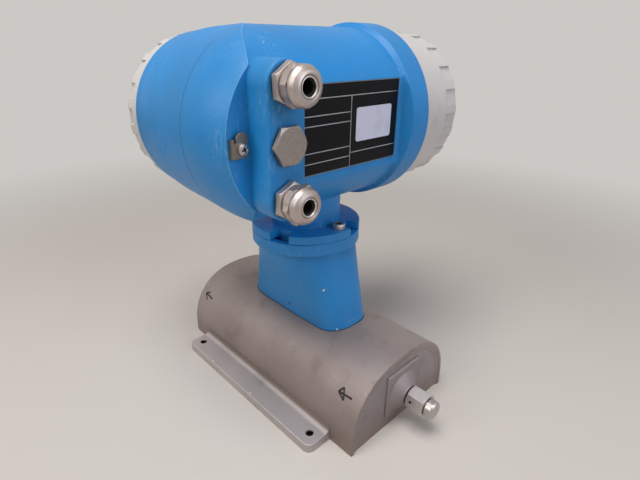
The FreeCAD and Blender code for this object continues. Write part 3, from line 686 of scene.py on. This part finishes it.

# %% [markdown]
# The print stops just short of the plate's cut edge, so a thin pale line runs round it, partly
# bare metal and partly a painted highlight of the edge: a rounded oblong a little smaller than the plate.

# %% Pale edge of the nameplate
BARE_WIDTH = 0.6 * MM
PLATE_CORNER = 2.0 * MM
CORNER_STEPS = 8
# Pale line: bare metal, and a painted highlight of the plate's edge.
bare_metal = turned_steel("cut_aluminium_edge_and_painted_highlight", "#8E9197", EVEN, 0.4, relief=0.05)
plate_half = (plate_high - plate_low)[1:] / 2 - BARE_WIDTH / 2
outline = oblong_outline(plate_half, PLATE_CORNER - BARE_WIDTH / 2, CORNER_STEPS)
outline = outline + (plate_low + plate_high)[1:] / 2
path = np.column_stack([np.full(len(outline), plate_high[0]), outline])
out = np.tile(TOWARDS_X, (len(path), 1))
edge_ring = swept(path, out, ribbon(BARE_WIDTH, RULE_HEIGHT), loop=True)
skin("plate_pale_edge", edge_ring, bare_metal, "transmitter", loop=True)
print("bare edge:", len(path), "rings")

# %% [markdown]
# Two arrows in black ink show which way the liquid flows. The shell's round is a
# superellipse: the 2.4th powers of the two coordinates, each over its half size, add to 1. An
# angle runs along that curve, and the gradient of the sum points straight out of the sheet,
# so an ink stroke can lie on the steel anywhere.

# %% Flow arrows
SHELL_POWER = 2.4
SHELL_SIDE = 8.0 * MM
STROKE_STEPS = 14
INK = ribbon(1.7 * MM, 0.05 * MM)
ARROWS = {
    "near": {"tip": (90.0, 34.0), "upper": (93.2, 39.4), "lower": (97.0, 30.0), "tail": (103.3, 35.1)},
    "far": {"tip": (-105.7, 36.2), "upper": (-100.0, 39.4), "lower": (-100.0, 30.3), "tail": (-92.5, 34.4)},
}
STROKES = {
    "near": {"upper": "tip upper", "lower": "tip lower", "back": "upper lower", "tail": "tip tail"},
    "far": {"upper": "tip upper", "lower": "tip lower", "tail": "tip tail"},
}
shell_low, shell_high = box_of("sensor_shell")
shell_half = shell_high[1]
shell_rise = shell_high[2] - SHELL_SIDE
marker_ink = moulded("black_marker_ink", "#1F1A18", "#2E2825", 0.55)


def on_shell(x, angle):
    """Point of the near side of the shell at that length and curve angle, with its outward direction."""
    y = -shell_half * np.cos(angle) ** (2 / SHELL_POWER)
    z = shell_rise * np.sin(angle) ** (2 / SHELL_POWER)
    slope_y = -((-y / shell_half) ** (SHELL_POWER - 1)) / shell_half
    slope_z = (z / shell_rise) ** (SHELL_POWER - 1) / shell_rise
    out = unit(np.stack([np.zeros_like(x), slope_y, slope_z], axis=1))
    return np.stack([x, y, z + SHELL_SIDE], axis=1), out


def shell_stroke(start, end, profile):
    """A profile carried over the shell between two places, each a length in millimetres and an
    angle in degrees."""
    run = np.linspace(start, end, STROKE_STEPS)
    path, out = on_shell(run[:, 0] * MM, np.radians(run[:, 1]))
    return swept(path, out, profile)


for side, strokes in STROKES.items():
    for stroke, ends in strokes.items():
        ink = shell_stroke(*[ARROWS[side][end] for end in ends.split()], INK)
        skin(f"flow_arrow_{side}_{stroke}", ink, marker_ink, "sensor")
print("flow arrows:", len(ARROWS))

# %% [markdown]
# Two light scratches show where something has rubbed the steel bright. They are thin strokes
# on the same curve.

# %% Scratches on the shell
SCRATCHES = {"by_outlet": ((-96.6, 16.1), (-98.6, 2.0)), "below_column": ((24.6, 41.0), (27.1, 46.7))}
SCRATCH = ribbon(0.5 * MM, 0.03 * MM)
bright_steel = turned_steel("rubbed_bright_stainless", "#CDBFB5", EVEN, 0.4, relief=0.05)
for name, ends in SCRATCHES.items():
    scratch = shell_stroke(*ends, SCRATCH)
    skin("shell_scratch_" + name, scratch, bright_steel, "sensor")
print("scratches:", len(SCRATCHES))

# %% [markdown]
# The end plates sit a little inside the shell and are welded round their edge, and the weld
# was ground to a soft hollow. Its outline is the shell's own, drawn smaller step by step: the
# straight sides and the superellipse crown with a lesser half width and height. Each step in
# is also a step back, from the shell's end to the plate, and two points inside close it.

# %% End welds
WELD_IN = np.array([1.2, 2.2, 3.2, 4.3, 5.6, 7.2, 7.2, 1.2]) * MM
WELD_BACK = np.array([-0.03, 0.1, 0.5, 1.0, 1.34, 1.47, 2.4, 2.4]) * MM
WELD_FOOT = 0.3 * MM
SIDE_STEPS = 5
CROWN_STEPS = 61


def arch_outline(inset):
    """Shell outline drawn in by an inset, as (y, z): up one straight side, over the crown and down
    the other side."""
    side = np.linspace(WELD_FOOT, SHELL_SIDE, SIDE_STEPS + 1)[:-1]
    angle = np.linspace(0, np.pi, CROWN_STEPS)
    cos, sin = np.cos(angle), np.sin(angle)
    crown_y = (shell_half - inset) * np.sign(cos) * np.abs(cos) ** (2 / SHELL_POWER)
    crown_z = SHELL_SIDE + (shell_rise - inset) * np.abs(sin) ** (2 / SHELL_POWER)
    side_y = np.full(SIDE_STEPS, shell_half - inset)
    y = np.concatenate([side_y, crown_y, -side_y])
    return np.stack([y, np.concatenate([side, crown_z, side[::-1]])], axis=1)


outlines = np.stack([arch_outline(inset) for inset in WELD_IN], axis=1)
for name, face_x in {"inlet": shell_high[0], "outlet": shell_low[0]}.items():
    facing = np.sign(face_x)
    deep = np.broadcast_to(face_x - facing * WELD_BACK, outlines.shape[:2])
    bead = capped(np.concatenate([deep[..., None], outlines], axis=-1))
    bead = bead[:, ::-1] if facing > 0 else bead
    skin("end_weld_" + name, bead, end_steel, "sensor")
print("end welds:", bead.shape[0], "rings")

# %% [markdown]
# Where the column meets the shell, a thin dark line shows: partly filler in the joint and
# partly painted shade of the gap. The column goes in straight lines from a rounded oblong below
# to a circle above, so any height is a blend of the two outlines. The line is where that blend
# and the shell have the same height, found by taking the shell's height and blending again, a
# few times over.

# %% Joint line under the column
COLUMN_HALF = (62.7, 23.5)
COLUMN_CORNER = 20.0
COLUMN_X = -1.4
TOP_R, TOP_Y = 43.0, -1.6
COLUMN_FOOT_Z = 58.0
COLUMN_HEAD_Z = 133.0
ARC_CUTS = [-6, 6, 50, 130, 174, 186, 230, 310, 354]
ARC_STEPS = 16
JOINT_ROUNDS = 6
JOINT_SIZE = 0.9 * MM
# A dark strip: filler, and painted shade of the gap under the column.
joint_filler = moulded("dark_joint_filler", "#10161C", "#1A2128", 0.6)


def circle_outline(count):
    """Circle cut at the same eight places, so that its points pair with the oblong's."""
    run = np.linspace(0, 1, count, endpoint=False)
    spans = [low + (high - low) * run for low, high in zip(ARC_CUTS, ARC_CUTS[1:])]
    angle = np.radians(np.concatenate(spans))
    return TOP_R * np.stack([np.cos(angle), np.sin(angle)], axis=1) + [0, TOP_Y]


oblong = oblong_outline(COLUMN_HALF, COLUMN_CORNER, ARC_STEPS)
circle = circle_outline(ARC_STEPS)
height = np.full(len(oblong), COLUMN_FOOT_Z)
for _ in range(JOINT_ROUNDS):
    share = ((height - COLUMN_FOOT_Z) / (COLUMN_HEAD_Z - COLUMN_FOOT_Z))[:, None]
    outline = oblong * (1 - share) + circle * share
    level = 1 - (np.abs(outline[:, 1]) * MM / shell_half) ** SHELL_POWER
    height = (SHELL_SIDE + shell_rise * level ** (1 / SHELL_POWER)) / MM
path = np.column_stack([outline[:, 0] + COLUMN_X, outline[:, 1], height]) * MM
rise = np.tile(TOWARDS_Z, (len(path), 1))
joint_ring = swept(path, rise, ribbon(JOINT_SIZE, JOINT_SIZE / 2), loop=True)
skin("column_joint_line", joint_ring, joint_filler, "sensor", loop=True)
print("joint line:", len(path), "rings")

# %% [markdown]
# The casting was made in a two-part die, and the parting left a fine seam round the cross
# barrel. It is a low ridge, an arc about that barrel's axis, drawn a darker blue than the coat.
# A ray sent at the casting from that side gives the barrel's radius at the seam.

# %% Parting seam
RAY_FROM = 1.0
SEAM_X = 8.3 * MM
SEAM_ARC = np.radians(np.linspace(-70, 55, 130))
SEAM = ribbon(0.4 * MM, 0.1 * MM)
CROSS_Y = sum(corner[1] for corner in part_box("terminal_cover")) / 2
seam_coat = moulded("darker_seam_coat", "#176AAE", "#1B74BA", 0.45)


def cast_point(start, way):
    """Where a ray from a start first meets the casting."""
    return nodes["transmitter_housing"].ray_cast(start, way)[1]


def cross_radius(x):
    """Radius of the cross barrel at that x, from a ray that meets its near side level with its axis."""
    return CROSS_Y - cast_point((x, -RAY_FROM, AXIS_Z), (0, 1, 0)).y


seam_r = cross_radius(SEAM_X)
out = spokes(SEAM_ARC) * MIRROR_Y
path = out * seam_r + [SEAM_X, CROSS_Y, AXIS_Z]
skin("parting_seam", swept(path, out, SEAM), seam_coat, "transmitter")
print("seam radius:", round(seam_r / MM, 2), "mm")

# %% [markdown]
# Where the two barrels meet, a pale line runs along the edge: partly coat that hands have worn
# pale, and partly a painted highlight where the rounded edge catches the light. The main barrel is
# a plain cylinder, so at each x its height over the axis is the root of its radius squared
# less x squared. The cross barrel's radius at that x comes from a ray, and the edge is where
# both hold. Lower down the flat cuts the cross barrel in a circle, and the pale line follows it.

# %% Worn and highlit edges
EDGE_FROM, EDGE_TO = -11.5 * MM, 49.8 * MM
EDGE_STEPS = 90
FLAT_WEAR_END = math.radians(-40)
PLAIN_Y = 20 * MM
WEAR = ribbon(0.7 * MM, 0.12 * MM)
worn_coat = moulded("worn_blue_coat_and_painted_highlight", "#63ABE2", "#4E9DD9", 0.4)
barrel_r = cast_point((0, PLAIN_Y, RAY_FROM), (0, 0, -1)).z - AXIS_Z
edge_x = np.linspace(EDGE_FROM, EDGE_TO, EDGE_STEPS)
cross_r = np.array([cross_radius(x) for x in edge_x])
edge_z = np.sqrt(barrel_r**2 - edge_x**2)
edge_y = -np.sqrt(cross_r**2 - edge_z**2)
zeros = np.zeros_like(edge_x)
main_out = unit(np.stack([edge_x, zeros, edge_z], axis=1))
cross_out = unit(np.stack([zeros, edge_y, edge_z], axis=1))
path = np.stack([edge_x, edge_y + CROSS_Y, edge_z + AXIS_Z], axis=1)
# The pale line is worn coat and a painted highlight of the edge.
mitre = swept(path, main_out + cross_out, WEAR)
skin("worn_and_highlit_mitre_edge", mitre, worn_coat, "transmitter")
arc = np.linspace(math.atan2(edge_z[-1], -edge_y[-1]), FLAT_WEAR_END, EDGE_STEPS)
out = spokes(arc) * MIRROR_Y
path = out * cross_r[-1] + [EDGE_TO, CROSS_Y, AXIS_Z]
skin("worn_and_highlit_flat_edge", swept(path, out + TOWARDS_X, WEAR), worn_coat, "transmitter")
print("worn edges: barrel radius", round(barrel_r / MM, 2), "mm")

# %% [markdown]
# A gland's body carries a thread under its cap nut, and a little of it shows between the two
# hexagons. It is a ridge carried along a helix: the angle grows evenly, and so does the
# length, by one pitch a turn.

# %% Gland threads
THREAD_PITCH = 1.5 * MM
THREAD_R = 9.9 * MM
THREAD_STEPS = 120
THREAD = ribbon(1.1 * MM, 0.26 * MM)
NECK_FROM_END = 7.8 * MM
NECK_LENGTH = 1.9 * MM
turns = np.linspace(0, NECK_LENGTH / THREAD_PITCH, THREAD_STEPS)
out = spokes(turns * 2 * np.pi)
for side in GLANDS:
    body_low, body_high = box_of(side + "_gland_body")
    path = out * THREAD_R + (body_low + body_high) / 2
    path[:, 0] = body_high[0] - NECK_FROM_END + turns * THREAD_PITCH
    thread = swept(path, out, THREAD)
    skin(side + "_gland_thread", thread, gland_nickel, "transmitter")
print("threads:", THREAD_PITCH / MM, "mm pitch")

# %% [markdown]
# Three rings finish each cap nut: a bright turned lip in its mouth, a dark ring of painted shade
# in the gap round the lip, and a dark line of painted shade in the groove that a tool left between
# the hexagon and the dome. Each is a small oval carried round a circle, and its row gives the
# circle's radius, how far it lies behind the cap's front and the oval's width and height, all in
# millimetres.

# %% Rings on the gland caps
RING_STEPS = 96
bright_nickel = turned_steel("bright_turned_nickel", "#E4DDD8", EVEN, 0.32, relief=0.05)
# Painted shade: dark rings for the shade in the gap and in the groove.
groove_grime = moulded("painted_shade_in_groove", "#4A423D", "#5A504A", 0.6)
CAP_RINGS = {
    "lip": (5.45, 1.2, (0.8, 0.5), bright_nickel),
    "gap": (6.3, 0.5, (0.4, 0.2), groove_grime),
    "groove": (11.7, 6.2, (0.5, 0.03), groove_grime),
}
out = spokes(np.linspace(0, 2 * np.pi, RING_STEPS, endpoint=False))
for side in GLANDS:
    cap = side + "_gland_cap"
    cap_low, cap_high = box_of(cap)
    front = [cap_high[0], *(cap_low + cap_high)[1:] / 2]
    for kind, (radius_mm, back_mm, oval_mm, material) in CAP_RINGS.items():
        path = out * radius_mm * MM + front - TOWARDS_X * back_mm * MM
        circlet = swept(path, out, ribbon(*oval_mm) * MM, loop=True)
        skin(f"{side}_gland_{kind}", circlet, material, cap, loop=True)
print("cap rings:", len(CAP_RINGS), "on each cap")

# %% [markdown]
# Behind the window the display module holds a liquid-crystal pane. Its face is nearly flat
# and falls away only at the edges: one minus the eighth power of each coordinate.

# %% Display pane
PANE_HALF = np.array([31.4, 14.4]) * MM
PANE_UP = 7.0 * MM
PANE_SINK = 1.4 * MM
PANE_SWELL = 0.9 * MM
PANE_POWER = 8
PANE_STEPS = (33, 25)
CELL_MM = 40.0
module_high = box_of("display_module")[1]
across_u, across_v = np.meshgrid(*[np.linspace(-1, 1, count) for count in PANE_STEPS])
swell = (1 - across_u**PANE_POWER) * (1 - across_v**PANE_POWER)
pane_x = across_u * PANE_HALF[0]
pane_y = module_high[1] - PANE_SINK + swell * PANE_SWELL
pane_z = AXIS_Z + PANE_UP + across_v * PANE_HALF[1]
pane = np.stack([pane_x, pane_y, pane_z], axis=-1)
crystal, tree, bsdf, place = finish("liquid_crystal_pane", roughness=0.12, ior=1.5)
cells = put(tree, "TexBrick", {"Vector": place, "Scale": across(CELL_MM)})
for key, shade in {"Color1": "#8C9A84", "Color2": "#899781", "Mortar": "#849279"}.items():
    cells.inputs[key].default_value = linear(shade)
tree.links.new(cells.outputs["Color"], bsdf.inputs["Base Color"])
skin("display_pane", pane[:, ::-1], crystal, "transmitter", ring=False)
print("pane:", (2 * PANE_HALF / MM).tolist(), "mm")
